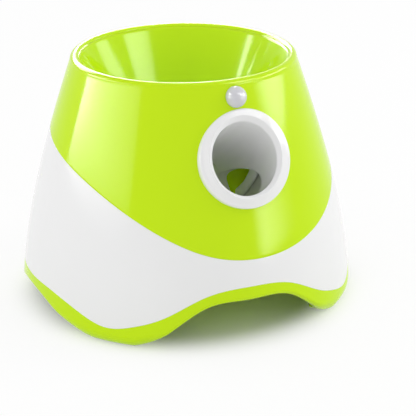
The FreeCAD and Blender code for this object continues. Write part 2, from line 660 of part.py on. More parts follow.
# ================================================================ striker
def striker():
    start = PAD_S + STRIKER_PAD_T
    cup = cylinder(STRIKER_R, (start, 0, 0), (start + STRIKER_L, 0, 0))
    hollow = (start + STRIKER_FACE, 0, 0), (start + STRIKER_L + 1, 0, 0)
    cup = cup.cut(cylinder(STRIKER_R - STRIKER_WALL, *hollow))
    root = RACK_PITCH_N - 1.25 * RACK_MODULE
    end = DRIVE_S + RACK_PAST
    first_s = start + RACK_START
    low = STRIKER_R - STRIKER_WALL + 0.5
    bar = box((first_s, start + STRIKER_L), (low, root), (-RACK_HALF_W, RACK_HALF_W))
    tail = box((start + STRIKER_L - 1, end), (RACK_LOW_N, root), (-RACK_HALF_W, RACK_HALF_W))
    teeth = []
    pitch = math.pi * RACK_MODULE
    slope = math.tan(math.radians(PRESSURE_DEG))
    top = 0.9 * RACK_MODULE
    half = pitch / 4 - BACKLASH / 4
    first_k = math.ceil((first_s + half - DRIVE_S) / pitch)
    last_k = math.floor((RACK_PAST - half) / pitch - 0.5)
    for k in range(first_k, last_k + 1):
        centre = DRIVE_S + (k + 0.5) * pitch
        low_w, high_w = half + 1.25 * RACK_MODULE * slope, half - top * slope
        profile = [Vector(centre - low_w, root, 0), Vector(centre - high_w, RACK_PITCH_N + top, 0),
                   Vector(centre + high_w, RACK_PITCH_N + top, 0), Vector(centre + low_w, root, 0)]
        face = Part.Face(Part.makePolygon(profile + profile[:1]))
        face.translate(Vector(0, 0, -RACK_HALF_W))
        teeth.append(face.extrude(Vector(0, 0, 2 * RACK_HALF_W)))
    return launched(fuse([cup, bar, tail] + teeth))


def striker_pad():
    return tube_cylinder(STRIKER_PAD_R, PAD_S, PAD_S + STRIKER_PAD_T)


def drive_spring():
    start = PAD_S + STRIKER_PAD_T + STRIKER_FACE
    length = TUBE_END - start - 2 * SPRING_WIRE
    helix = Part.makeHelix(length / SPRING_TURNS, length, SPRING_R)
    circle = Part.Wire(Part.makeCircle(SPRING_WIRE, Vector(SPRING_R, 0, 0), Y_AXIS))
    coil = Part.Wire(helix).makePipeShell([circle], True, True)
    coil = solid_of(coil)
    placed = put(coil, Placement(Vector(start + SPRING_WIRE, 0, 0), Rotation(Z_AXIS, X_AXIS)))
    return launched(placed)


# ================================================================ gear train
def involute(base, radius):
    """Involute angle from the base circle to a radius."""
    ratio = math.sqrt(max((radius / base) ** 2 - 1, 0.0))
    return ratio - math.atan(ratio)


def gear(module, teeth, x_range, addendum=0.75):
    """Spur gear along local Z with a tooth centred on local X."""
    pitch_r = module * teeth / 2
    base = pitch_r * math.cos(math.radians(PRESSURE_DEG))
    root, tip = pitch_r - 1.1 * module, pitch_r + addendum * module
    half = (math.pi * module / 2 - BACKLASH / 2) / pitch_r / 2 + involute(base, pitch_r)
    start = max(root, base)
    steps = 3
    flank = [(start + (tip - start) * i / steps) for i in range(steps + 1)]
    side = [(r, half - involute(base, r)) for r in flank]
    if root < base:
        side.insert(0, (root, side[0][1]))
    points = []
    for k in range(teeth):
        centre = 2 * math.pi * k / teeth
        points += [(r, centre - a) for r, a in side] + [(r, centre + a) for r, a in reversed(side)]
    corners = [Vector(r * math.cos(a), r * math.sin(a), x_range[0]) for r, a in points]
    face = Part.Face(Part.makePolygon(corners + corners[:1]))
    return face.extrude(Vector(0, 0, x_range[1] - x_range[0]))


def polar(centre, distance, degrees):
    a = math.radians(degrees)
    return (centre[0] + distance * math.cos(a), centre[1] + distance * math.sin(a))


DRIVE = (DRIVE_S, RACK_PITCH_N + RACK_MODULE * SECTOR_TEETH / 2)
IDLER = polar(DRIVE, TRAIN_MODULE * (WHEEL_3_TEETH + PINION_1_TEETH) / 2, TRAIN_DEG)
MOTOR = polar(IDLER, TRAIN_MODULE * (WHEEL_1_TEETH + MOTOR_TEETH) / 2, MOTOR_DEG)
HUB_X = (PLATE_X[0] + PLATE_T + SHIM, PLATE_X[1] - SHIM)


THROUGH = (-REACH, REACH)


def disc(centre, radius, x_range):
    return cylinder(radius, (centre[0], centre[1], x_range[0]), (centre[0], centre[1], x_range[1]))


def placed_gear(shape, centre, tooth_degrees):
    """Turn a gear so that one tooth points at an angle, and put it at its centre."""
    return put(shape, Placement(Vector(centre[0], centre[1], 0), Rotation(Z_AXIS, tooth_degrees)))


def gap_at(degrees, teeth):
    """Where to point a tooth so that a gap faces the given direction."""
    return degrees + 180.0 / teeth


def sector_gear():
    sector = gear(RACK_MODULE, SECTOR_TEETH, SECTOR_X, 0.9)
    step = 360.0 / SECTOR_TEETH
    first = -SECTOR_USED + 2.5
    keep = [Vector(0, 0, SECTOR_X[0] - 1)]
    reach = RACK_MODULE * SECTOR_TEETH
    angles = [(first + (3 - first) * i / 6.0) * step for i in range(7)]
    keep += [Vector(reach * math.cos(math.radians(a)), reach * math.sin(math.radians(a)), SECTOR_X[0] - 1)
             for a in angles]
    wedge = Part.Face(Part.makePolygon(keep + keep[:1])).extrude(Vector(0, 0, 12))
    core_disc = cylinder(RACK_MODULE * SECTOR_TEETH / 2 - 3.0, (0, 0, SECTOR_X[0]), (0, 0, SECTOR_X[1]))
    sector = placed_gear(fuse([sector.common(wedge), core_disc]), DRIVE, -90.0)
    wheel = placed_gear(gear(TRAIN_MODULE, WHEEL_3_TEETH, WHEEL_3_X), DRIVE, TRAIN_DEG)
    web = disc(DRIVE, RACK_MODULE * SECTOR_TEETH / 2 - 4.0, (SECTOR_X[1] - 1, WHEEL_3_X[0] + 1))
    hub = disc(DRIVE, 2 * AXLE_3_R, HUB_X)
    whole = fuse([sector, wheel, web, hub])
    return launched(whole.cut(disc(DRIVE, AXLE_3_R + RUN, THROUGH)))


def idler_gear():
    pinion = placed_gear(gear(TRAIN_MODULE, PINION_1_TEETH, PINION_1_X), IDLER,
                         gap_at(TRAIN_DEG + 180, PINION_1_TEETH))
    wheel = placed_gear(gear(TRAIN_MODULE, WHEEL_1_TEETH, WHEEL_1_X), IDLER, MOTOR_DEG)
    hub = disc(IDLER, 2 * AXLE_1_R, HUB_X)
    web = disc(IDLER, 3.4, (PINION_1_X[1] - 0.5, WHEEL_1_X[0] + 0.5))
    whole = fuse([pinion, wheel, hub, web])
    return launched(whole.cut(disc(IDLER, AXLE_1_R + RUN, THROUGH)))


def motor_pinion():
    pinion = placed_gear(gear(TRAIN_MODULE, MOTOR_TEETH, MOTOR_PINION_X), MOTOR,
                         gap_at(MOTOR_DEG + 180, MOTOR_TEETH))
    return launched(pinion.cut(disc(MOTOR, MOTOR_SHAFT_R, THROUGH)))


def motor_shaft():
    end = PLATE_X[1] + PLATE_T + MOTOR_SHAFT_IN
    return launched(disc(MOTOR, MOTOR_SHAFT_R, (MOTOR_PINION_X[0] - SHIM, end)))


def gearbox_plate(x_low, motor_hole):
    x_range = (x_low, x_low + PLATE_T)
    pieces = []
    pairs = [(DRIVE, IDLER, PLATE_R), (IDLER, MOTOR, PLATE_R)]
    pairs += [(anchor, post, POST_R + PLATE_RIM) for anchor, post in zip((DRIVE, IDLER, MOTOR), POSTS)]
    for p, q, r in pairs:
        length = math.hypot(q[0] - p[0], q[1] - p[1])
        bar = box((0, length), (-r, r), x_range)
        angle = math.degrees(math.atan2(q[1] - p[1], q[0] - p[0]))
        pieces.append(put(bar, Placement(Vector(p[0], p[1], 0), Rotation(Z_AXIS, angle))))
        pieces += [disc(p, r, x_range), disc(q, r, x_range)]
    foot_s = (POSTS[0][0] - POST_R - 1, TUBE_END - 1)
    pieces.append(box(foot_s, (TUBE_R - SLOT_IN, DRIVE[1]), x_range))
    plate = fuse(pieces)
    plate = plate.cut(cylinder(TUBE_R + TUBE_T, (0, 0, 0), (TUBE_END + REACH, 0, 0)))
    plate = plate.cut(disc(DRIVE, AXLE_3_R, THROUGH)).cut(disc(IDLER, AXLE_1_R, THROUGH))
    for post in POSTS:
        plate = plate.cut(disc(post, SCREW_R, THROUGH))
    if motor_hole:
        plate = plate.cut(disc(MOTOR, MOTOR_BOSS_R + SKIN_GAP, THROUGH))
    return launched(plate)


def gearbox_posts():
    x_range = (PLATE_X[0] + PLATE_T, PLATE_X[1])
    posts = [disc(p, POST_R, x_range).cut(disc(p, SCREW_R, (x_range[1] - POST_HOLE, REACH))) for p in POSTS]
    return launched(Part.makeCompound([p for post in posts for p in post.Solids]))


def gearbox_screws():
    top = PLATE_X[1] + PLATE_T
    low = PLATE_X[1] - POST_HOLE + SCREW_SHORT
    screws = [fuse([disc(p, SCREW_R, (low, top)), disc(p, SCREW_HEAD_R, (top, top + SCREW_HEAD_H))])
              for p in POSTS]
    return launched(Part.makeCompound(screws))


def gear_axles():
    x_range = (PLATE_X[0], PLATE_X[1] + PLATE_T)
    return launched(Part.makeCompound([disc(DRIVE, AXLE_3_R, x_range), disc(IDLER, AXLE_1_R, x_range)]))


def motor():
    face = PLATE_X[1] + PLATE_T
    can = disc(MOTOR, MOTOR_R, (face, face + MOTOR_L))
    boss = disc(MOTOR, MOTOR_BOSS_R, (PLATE_X[1], face))
    tail = disc(MOTOR, MOTOR_TAIL_R, (face + MOTOR_L, face + MOTOR_L + MOTOR_TAIL_L))
    whole = fuse([can, boss, tail])
    return launched(whole.cut(disc(MOTOR, MOTOR_SHAFT_R + RUN, (0, face + MOTOR_SHAFT_IN + 1))))


# ================================================================ power and electronics
def battery_cells():
    cells = []
    for x, y in cell_places():
        low, high = x - CELL_L / 2, x + CELL_L / 2
        can = cylinder(CELL_R, (low, y, CELL_Z), (high - CELL_TIP_L, y, CELL_Z))
        tip = cylinder(CELL_TIP_R, (high - CELL_TIP_L, y, CELL_Z), (high, y, CELL_Z))
        cells.append(fuse([can, tip]))
    return Part.makeCompound(cells)


def battery_contacts():
    plates = []
    for x in (-BAY_HALF_W, BAY_HALF_W - CONTACT_T):
        for _, y in cell_places()[::2]:
            sides = grow((y, y), CONTACT_HALF_W), grow((CELL_Z, CELL_Z), CONTACT_HALF_W)
            plates.append(box((x, x + CONTACT_T), *sides))
    return Part.makeCompound(plates)


def battery_door():
    y = (BAY_FRONT + DOOR_GAP, BAY_BACK - DOOR_GAP)
    x = (-BAY_HALF_W + DOOR_GAP, BAY_HALF_W - DOOR_GAP)
    door = box(x, y, (BAY_Z - DOOR_T, BAY_Z))
    ribs = []
    for cx, cy in cell_places():
        rib = box((cx - CELL_L / 4, cx - CELL_L / 4 + RIB_T), grow((cy, cy), RIB_HALF_L), (BAY_Z, CELL_Z))
        ribs.append(rib.cut(cylinder(CELL_R + SKIN_GAP, (cx - CELL_L / 2, cy, CELL_Z), (cx, cy, CELL_Z))))
    tab = box((-TAB_HALF_W, TAB_HALF_W), (BAY_BACK - TAB_IN, DOOR_SCREW_Y + BOSS_R),
              (BAY_Z - 2 * DOOR_T, BAY_Z - DOOR_T))
    door = fuse([door, tab] + [s for rib in ribs for s in rib.Solids])
    return door.cut(cylinder(SCREW_R, DOOR_SCREW_LOW, DOOR_SCREW_TOP))


def case_screws():
    screws = []
    for angle in BOSS_ANGLES:
        end = around(BOSS_AT, angle, BOSS_TOP - BOSS_HOLE - SCREW_SHORT)
        seat = around(BOSS_AT, angle, DECK_Z)
        head = cylinder(SCREW_HEAD_R, around(BOSS_AT, angle, DECK_Z - SCREW_HEAD_H), seat)
        screws.append(fuse([cylinder(SCREW_R, seat, end), head]))
    head_z = DOOR_SCREW_LOW[2]
    door_head = cylinder(SCREW_HEAD_R, (0, DOOR_SCREW_Y, head_z - SCREW_HEAD_H), DOOR_SCREW_LOW)
    screws.append(fuse([cylinder(SCREW_R, DOOR_SCREW_LOW, DOOR_SCREW_TOP), door_head]))
    return Part.makeCompound(screws)


def sensor_lens():
    half = (-SENSOR_R, SENSOR_R)
    dome = Part.makeSphere(SENSOR_R, Vector()).common(box(half, half, (SKIN_GAP, SENSOR_R)))
    foot_r = SENSOR_R - SENSOR_FOOT_IN
    foot = cylinder(foot_r, (0, 0, SENSOR_BOARD_Z), (0, 0, 5 * SKIN_GAP))
    lens = fuse([dome, foot]).cut(Part.makeSphere(SENSOR_R - SENSOR_T, Vector()))
    return put(lens.cut(cylinder(foot_r - SENSOR_T, (0, 0, -REACH), (0, 0, 0))), sensor_frame)


def sensor_element():
    return put(cylinder(ELEMENT_R, (0, 0, SENSOR_BOARD_Z), (0, 0, SENSOR_BOARD_Z + ELEMENT_L)), sensor_frame)


def sensor_board():
    return put(box(*SENSOR_BOARD, (SENSOR_BOARD_Z - SENSOR_BOARD_T, SENSOR_BOARD_Z)), sensor_frame)


def panel_outline(radius, z_low, z_high):
    straight = PANEL_HALF_W - radius
    return fuse([cylinder(radius, (x, 0, z_low), (x, 0, z_high)) for x in (-straight, straight)]
                + [box((-straight, straight), (-radius, radius), (z_low, z_high))])


def control_panel():
    panel = panel_outline(PANEL_R, -PANEL_DEPTH, PANEL_PROUD)
    posts = [cylinder(PANEL_POST_R, (x, 0, SWITCH_BOARD_Z), (x, 0, -PANEL_POST_IN))
             for x in (-PANEL_POST_X, PANEL_POST_X)]
    whole = fuse([panel] + posts)
    for x in (-BUTTON_X, BUTTON_X):
        whole = whole.cut(through(BUTTON_R + BUTTON_GAP, x))
    for x in LED_X:
        whole = whole.cut(through(LED_R, x))
    return put(whole, panel_frame)


LED_X = (-LED_PITCH, 0.0, LED_PITCH)


def button(x):
    """Push button that travels into the body."""
    return put(cylinder(BUTTON_R, (x, 0, BUTTON_BACK), (x, 0, BUTTON_PROUD)), panel_frame)


def led_lenses():
    face = PANEL_PROUD + LED_PROUD
    lenses = [cylinder(LED_R, (x, 0, LED_BACK), (x, 0, face)) for x in LED_X]
    return put(Part.makeCompound(lenses), panel_frame)


def switch_board():
    """Board behind the panel that carries the tact switches and the LEDs."""
    half_w = PANEL_HALF_W - SWITCH_BOARD_IN
    board = box((-half_w, half_w), (-SWITCH_BOARD_HALF_H, SWITCH_BOARD_HALF_H),
                (SWITCH_BOARD_Z - BOARD_T, SWITCH_BOARD_Z))
    top = BUTTON_BACK - BUTTON_TRAVEL - SWITCH_GAP
    half = (-SWITCH_HALF_W, SWITCH_HALF_W)
    switches = [box(grow((x, x), SWITCH_HALF_W), half, (SWITCH_BOARD_Z, top)) for x in (-BUTTON_X, BUTTON_X)]
    return put(fuse([board] + switches), panel_frame)


def dc_jack():
    barrel = cylinder(JACK_R, (0, 0, -JACK_L), (0, 0, JACK_PROUD))
    back = -WALL - 2 * FIT
    flange = cylinder(JACK_FLANGE_R, (0, 0, back - JACK_FLANGE_T), (0, 0, back))
    jack = fuse([barrel, flange]).cut(cylinder(JACK_BORE_R, (0, 0, -JACK_DEPTH), (0, 0, REACH)))
    pin = cylinder(JACK_PIN_R, (0, 0, -JACK_DEPTH), (0, 0, -1))
    return put(fuse([jack, pin]), jack_frame)


def main_board():
    return box((BOARD_X, BOARD_X + BOARD_L), (BOARD_Y, BOARD_Y + BOARD_W), (BOARD_Z, BOARD_Z + BOARD_T))


def board_parts():
    """Controller, relay, two capacitors and two plugs, placed from the board's corner."""
    x, y = BOARD_X, BOARD_Y
    top = BOARD_Z + BOARD_T
    chip = box((x + 18, x + 30), (y + 24, y + 36), (top, top + 1.6))
    caps = [cylinder(4.0, (x + 12, y + dy, top), (x + 12, y + dy, top + 11)) for dy in (14, 26)]
    relay = box((x + 30, x + 45), (y + 44, y + 54), (top, top + 12))
    plugs = [box((x + 36, x + 44), (y + dy, y + dy + 7), (top, top + 6)) for dy in (8, 20)]
    return Part.makeCompound([chip, relay] + caps + plugs)


def buzzer():
    base = Vector(BUZZER_X, BUZZER_Y, DECK_Z + DECK_T)
    can = Part.makeCylinder(BUZZER_R, BUZZER_H, base)
    hole_base = base + Vector(0, 0, BUZZER_H - BUZZER_HOLE_H)
    return can.cut(Part.makeCylinder(BUZZER_HOLE_R, BUZZER_H, hole_base))


# ================================================================ export
PIECES = {
    "upper_shell": upper_shell, "lower_shell": lower_shell, "base_skirt": base_skirt, "base_deck": base_deck,
    "rubber_feet": rubber_feet, "hopper_bowl": hopper_bowl, "feed_chute": feed_chute,
    "side_pocket": side_pocket,
    "launch_tube": launch_tube, "tube_end_cap": end_cap, "outlet_ring": outlet_ring,
    "striker": striker, "striker_pad": striker_pad, "drive_spring": drive_spring,
    "sector_gear": sector_gear, "idler_gear": idler_gear, "motor_pinion": motor_pinion,
    "motor_shaft": motor_shaft, "gearbox_plate_left": lambda: gearbox_plate(PLATE_X[0], False),
    "gearbox_plate_right": lambda: gearbox_plate(PLATE_X[1], True), "gearbox_posts": gearbox_posts,
    "gearbox_screws": gearbox_screws, "gear_axles": gear_axles, "motor": motor,
    "battery_cells": battery_cells, "battery_contacts": battery_contacts, "battery_door": battery_door,
    "case_screws": case_screws, "sensor_lens": sensor_lens, "sensor_element": sensor_element,
    "sensor_board": sensor_board, "control_panel": control_panel, "power_button": lambda: button(-BUTTON_X),
    "distance_button": lambda: button(BUTTON_X), "led_lenses": led_lenses, "switch_board": switch_board,
    "dc_jack": dc_jack, "main_board": main_board, "board_parts": board_parts, "buzzer": buzzer,
}

os.makedirs("parts", exist_ok=True)
for name, make in PIECES.items():
    shape = make()
    print(name, shape.ShapeType, len(shape.Solids), shape.isValid(), round(shape.Volume))
    shape.exportStep("parts/%s.step" % name)
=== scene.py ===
import json
import math

import bmesh
import bpy
import numpy as np
from mathutils import Matrix, Vector

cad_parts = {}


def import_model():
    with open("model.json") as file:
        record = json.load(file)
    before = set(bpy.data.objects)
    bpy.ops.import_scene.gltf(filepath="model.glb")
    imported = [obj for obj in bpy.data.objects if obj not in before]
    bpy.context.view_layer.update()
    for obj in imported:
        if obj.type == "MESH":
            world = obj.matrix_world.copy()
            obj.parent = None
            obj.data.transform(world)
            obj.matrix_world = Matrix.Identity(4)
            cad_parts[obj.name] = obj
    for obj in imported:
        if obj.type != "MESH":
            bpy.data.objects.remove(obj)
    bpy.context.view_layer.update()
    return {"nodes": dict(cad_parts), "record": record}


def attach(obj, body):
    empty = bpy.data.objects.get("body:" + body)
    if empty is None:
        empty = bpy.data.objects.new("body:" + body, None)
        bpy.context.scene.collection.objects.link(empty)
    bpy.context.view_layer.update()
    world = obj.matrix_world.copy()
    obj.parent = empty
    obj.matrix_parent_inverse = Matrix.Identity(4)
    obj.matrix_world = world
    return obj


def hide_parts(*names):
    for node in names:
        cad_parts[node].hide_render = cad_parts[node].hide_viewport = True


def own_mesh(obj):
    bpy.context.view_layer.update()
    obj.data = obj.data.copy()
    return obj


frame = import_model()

MM = 0.001
COLUMNS = 384             # points in one row around the body

# ---------------------------------------------------------------- body, in millimetres
BODY_R = 139.0            # largest radius of the body, near the floor
BODY_Z = 7.0              # height of that largest radius
TAPER = (0.11, 0.492, -0.179)       # how the radius shrinks with height, per TAPER_H
TAPER_H = 230.0
WALL = 2.5                # wall of the outer shells
SEAM = 0.06               # gap between two skins that meet
EDGE = 0.15               # rounding of a moulded edge at a seam
RIM_Z = 205.0             # top of the rim
RIM_WIDTH = 7.5
RIM_INSET = 0.03          # keeps the rim's crest inside the tessellated solid
ROLL_END_DEG = 152.8      # where the rim's roll runs into the bowl's cone
RIM_TUCK = (1.0, -1.2)    # the rim's skin ends this far behind the cone, outwards and up
INNER_TOP_Z = 198.35      # top of the green shell's inner face

# Seams are (degrees from the front towards +X, height); those of the base cover one quarter.
TOP_SEAM = [(-180, 156), (-121, 149), (-89, 138), (-64, 123), (-45, 105), (-30, 89), (-16, 76.5),
            (2, 70.5), (23, 76), (46, 93), (69, 114), (94, 133), (130, 149)]
BASE_TURN = -2.8          # the base's wave is turned this far
BASE_SEAM = [(0, 50), (16, 45), (30, 28.2), (40, 19.8), (49, 16), (60, 22.5), (75, 31), (90, 32)]
BASE_EDGE = [(0, 38.5), (16, 34.5), (30, 11.7), (40, 0.5), (49, -0.3), (60, 2), (75, 16), (90, 22)]

LIP_INSET, LIP_BACK = 2.7, 4.7      # faces of the white shell's lip, under the skin
LIP_RISE = 5.0            # the lip stands this far past the top seam
LIP_ROOT = 7.5            # and starts this far below it
INNER_DROP = 8.0          # the white shell's inner face ends this far below that seam

# ---------------------------------------------------------------- base, in millimetres
SOLE_Z = 0.3              # underside of the feet
SOLE_T = 3.0
SOLE_IN = 21.0            # a foot reaches this far in from the skin
FOOT_FADE = 16.0          # a foot has become an arch this far above its sole
FOOT_ROLL, ARCH_ROLL = 11.0, 3.5    # radius that rolls the skirt under
ROLL_SHARE = 0.7          # of the skirt's height, at most
ROLL_LAND = 0.5           # flat left inside the roll
RAMP_H = 14.0             # height of the ramp from a foot's sole to the skirt's wall
SOLE_EDGE = 0.2
SKIRT_T = 5.5             # skirt wall
TONGUE_IN = 3.3           # the skirt's tongue, inside the white shell
TONGUE_TOP = 47.6
TONGUE_MIN = 0.05         # the tongue stands at least this far past the seam

# ---------------------------------------------------------------- hopper, in millimetres
CONE_Z, CONE_R = 151.0, 58.5        # where the upper cone ends
DRAIN_X, DRAIN_Y, DRAIN_Z, DRAIN_R = -24.0, -18.5, 132.0, 27.5
DRAIN_DROP = 1.0          # the drain's edge hangs this far below its height
DRAIN_EDGE = 1.8          # and is this wide
BOWL_T, BOWL_SINK = 2.2, 0.6        # the bowl's back is this far out and down
BOWL_TUCK = (1.2, -1.4)   # end of the bowl's back at the rim, outwards and up

# ---------------------------------------------------------------- outlet, in millimetres
LAUNCH_DEG = 40.0         # launch angle above level
MOUTH_Z = 146.7           # where the launch axis leaves the body
TUBE_R = 27.5             # bore of the launch tube
TUBE_INSET = 0.6          # the launch tube starts this far inside the wall
BORE_R = 27.42            # the ring's bore hides the tube's edge
RING_R = 38.7
RING_DEG = 22.0           # the ring's face leans back
RING_PROUD = 4.0          # face in front of the body at the ring's centre
RING_BEVEL = 3.0          # bevel around the bore
RING_ROUND = 1.6
RING_EDGE = 1.5           # the ring's edge would stand this proud if it followed the body
RING_WRAP = 0.5           # how far it does
RING_SHIFT = 1.5          # the flange's middle beside the bore's
RING_SIDE = (14.0, 8.0)   # how deep the flange's side goes behind the face, in two rows
RING_LAP = 1.5            # the ring's bore laps this far into the tube
COLLAR_R = 31.3           # the ring's collar, which passes through the shell
COLLAR_GAP = 0.2
COLLAR_STEP = 1.0         # the skin ends this far inside the collar
COLLAR_CUT = 60.0         # reach of the collar's hole, both ways along the launch axis

# ---------------------------------------------------------------- sensor and rear, in millimetres
SENSOR_Z = 192.5
SENSOR_R = 8.5
SENSOR_NECK, SENSOR_NECK_L = 0.75, 6.0
SENSOR_LIFT = 0.1         # height of the edge under the dome
PANEL_Z, PANEL_HALF_W, PANEL_R = 100.0, 34.0, 13.2
JACK_Z, JACK_R = 66.0, 4.4
REAR_CUT = 20.0           # reach of the rear's holes, both ways through the wall

# ---------------------------------------------------------------- drive spring, in millimetres
STRIKER_BACK_S, TUBE_END = 117.0, 165.0       # along the launch axis from the mouth
SPRING_R, SPRING_WIRE, SPRING_TURNS = 20.0, 0.9, 6

# ---------------------------------------------------------------- stage, light and camera, in metres
FLOOR_HALF = 6.0
FLOOR_LIT = (0.90, 0.90, 0.90)
FLOOR_SEEN = (1.0, 1.0, 1.0)
FLOOR_GLOW = 0.82         # how much of what the camera sees of the floor glows plain white; this painted light washes out the shadow
FLOOR_GLOW_FROM = 0.105, 0.155      # from nothing to all of it, this far from the middle
WORLD_LIGHT = 0.93
CARD_R = 1.8
# Softboxes that only reflections see: degrees from the front, heights,
# and radiance across and up them as (part of the way, value)
SOFTBOXES = {
    "left": (-131, -66, 0.12, 0.85, [(0, 29), (0.22, 19), (0.45, 14), (1, 5)],
             [(0, 0.3), (0.15, 0.5), (0.3, 0.85), (0.42, 1)]),
    "left_tall": (-119, -109, 0.85, 1.35, [(0, 6), (0.5, 32), (1, 6)], [(0, 1)]),
    "right_high": (20, 54, 0.75, 2.2, [(0, 5), (0.2, 14), (0.8, 17), (1, 10)], [(0, 1)]),
    "right_middle": (44, 96, 0.31, 0.95, [(0, 0.5), (0.3, 15), (0.5, 14), (1, 6)], [(0, 0.8), (0.3, 1)]),
    "right_low": (25, 62, 0.0, 0.31, [(0, 3), (0.2, 13), (0.45, 9), (0.75, 3), (1, 1)], [(0, 1)]),
    "back": (150, 215, 0.7, 1.6, [(0, 16)], [(0, 1)]),
}
FILL_WIDTH, FILL_DISTANCE = 1.2, 2.2
# Fill lamps: degrees from the front, heights and radiance
FILLS = {"fill_left": (-100, 0.1, 1.6, 1.4), "fill_right": (75, 0.6, 2.0, 3.0)}
CAMERA_AZIMUTH = -25.54
CAMERA_ELEVATION = 21.389
CAMERA_DISTANCE = 1.3512
CAMERA_AIM = (0.01905, 0.0676)      # sideways and up
CAMERA_ROLL = -0.496
CAMERA_LENS, FILM_WIDTH = 138.46, 36.0        # in millimetres
CAMERA_REACH = 30.0


# ================================================================ curves
def body_r(z):
    """Radius of the body at a height."""
    t = (z - BODY_Z) / TAPER_H
    return BODY_R * (1 - TAPER[0] * t - TAPER[1] * t ** 2 - TAPER[2] * t ** 3)


def wall_lean(z):
    """How far the wall leans inwards at a height, in radians."""
    t = (z - BODY_Z) / TAPER_H
    return math.atan(BODY_R / TAPER_H * (TAPER[0] + 2 * TAPER[1] * t + 3 * TAPER[2] * t ** 2))


def stands_off(point):
    """How far a point in metres is off the body's surface, in millimetres."""
    x, y, z = (v / MM for v in point)
    return math.hypot(x, y) - body_r(z)


def four_fold(quarter):
    """One quarter of the base, mirrored twice and turned."""
    half = quarter + [(180 - a, z) for a, z in reversed(quarter[:-1])]
    whole = half + [(360 - a, z) for a, z in reversed(half[1:-1])]
    return [(a + BASE_TURN, z) for a, z in whole]


def periodic(points, angles):
    """Periodic cubic spline through (angle, height) points, read at some angles in degrees."""
    x = np.array([p[0] for p in points], float)
    y = np.array([p[1] for p in points], float)
    n = len(x)
    step = np.diff(np.append(x, x[0] + 360))
    matrix, right = np.zeros((n, n)), np.zeros(n)
    for i in range(n):
        before, after = step[i - 1], step[i]
        matrix[i, i - 1] += before
        matrix[i, i] += 2 * (before + after)
        matrix[i, (i + 1) % n] += after
        right[i] = 6 * ((y[(i + 1) % n] - y[i]) / after - (y[i] - y[i - 1]) / before)
    bend = np.linalg.solve(matrix, right)
    at = (np.asarray(angles) - x[0]) % 360 + x[0]
    i = np.searchsorted(np.append(x, x[0] + 360), at, side="right") - 1
    i = np.clip(i, 0, n - 1)
    j, h = (i + 1) % n, step[i]
    a, b = (x[i] + h - at) / h, (at - x[i]) / h
    return a * y[i] + b * y[j] + ((a ** 3 - a) * bend[i] + (b ** 3 - b) * bend[j]) * h ** 2 / 6


ANGLES = np.arange(COLUMNS) * 360.0 / COLUMNS
TOP = periodic(TOP_SEAM, ANGLES)
BASE = periodic(four_fold(BASE_SEAM), ANGLES)
LOW = periodic(four_fold(BASE_EDGE), ANGLES)
ROUND_Z = RIM_Z - RIM_WIDTH / 2     # height of the middle of the rim's roll


def rim_roll(part):
    """Radius and height along the rim's roll, from the outside over the top to the cone."""
    a = math.radians(ROLL_END_DEG) * part
    middle = body_r(ROUND_Z) - RIM_WIDTH / 2
    return middle + RIM_WIDTH / 2 * math.cos(a), ROUND_Z + (RIM_WIDTH / 2 - RIM_INSET) * math.sin(a)


# ================================================================ places
def wall_matrix(angle, z, lean):
    """Local X along the wall, Y up it, Z out of it, at a point on the skin."""
    a = math.radians(angle)
    place = Vector((body_r(z) * math.sin(a), -body_r(z) * math.cos(a), z)) * MM
    turn = Matrix.Rotation(a, 4, "Z") @ Matrix.Rotation(math.pi / 2 - lean, 4, "X")
    return Matrix.Translation(place) @ turn


# The launch frame: along the tube from the mouth, and across it upwards
MOUTH = Vector((0.0, -body_r(MOUTH_Z), MOUTH_Z))
ALONG = Vector((0.0, math.cos(math.radians(LAUNCH_DEG)), -math.sin(math.radians(LAUNCH_DEG))))
ACROSS = Vector((0.0, math.sin(math.radians(LAUNCH_DEG)), math.cos(math.radians(LAUNCH_DEG))))
LAUNCH = Matrix.Translation(MOUTH * MM) @ Matrix(((1, 0, 0, 0), (0, ACROSS.y, -ALONG.y, 0),
                                                  (0, ACROSS.z, -ALONG.z, 0), (0, 0, 0, 1)))
RING = wall_matrix(0.0, MOUTH_Z, math.radians(RING_DEG))
SENSOR = wall_matrix(0.0, SENSOR_Z, wall_lean(SENSOR_Z))
PANEL = wall_matrix(180.0, PANEL_Z, wall_lean(PANEL_Z))
JACK = wall_matrix(180.0, JACK_Z, wall_lean(JACK_Z))


def around(a):
    """Unit vector out from the launch axis, at an angle from +X."""
    return Vector((math.cos(a), 0, 0)) + ACROSS * math.sin(a)


# ================================================================ mesh helpers
def ring(radius, z, centre=(0.0, 0.0)):
    """One row of points around the body; radius and z are numbers or one value per column."""
    a = np.radians(ANGLES)
    radius = np.broadcast_to(radius, a.shape)
    z = np.broadcast_to(z, a.shape)
    return np.stack([centre[0] + radius * np.sin(a), centre[1] - radius * np.cos(a), z], 1) * MM


def skin(z, inset=0.0):
    """A row on the body's surface, or inside it."""
    return ring(body_r(z) - inset, z)


def rounded_edge(z, up):
    """Rows that round the outer edge of a skin that ends at z, where up is 1 if the skin lies above."""
    rows = []
    for i in range(5):
        a = math.pi / 2 * i / 4
        rows.append(ring(body_r(z) - EDGE + math.sin(a) * EDGE, z + up * (EDGE - math.cos(a) * EDGE)))
    return rows[::up]


def link(name, data):
    """A new object in the scene, from a mesh, lamp or camera."""
    piece = bpy.data.objects.new(name, data)
    bpy.context.scene.collection.objects.link(piece)
    return piece


def close_up(piece, fill):
    """Turn the faces outwards, after filling the open ends if asked."""
    body = bmesh.new()
    body.from_mesh(piece.data)
    if fill:
        bmesh.ops.holes_fill(body, edges=[e for e in body.edges if e.is_boundary])
    bmesh.ops.recalc_face_normals(body, faces=body.faces)
    body.to_mesh(piece.data)
    body.free()
    piece.data.shade_smooth()


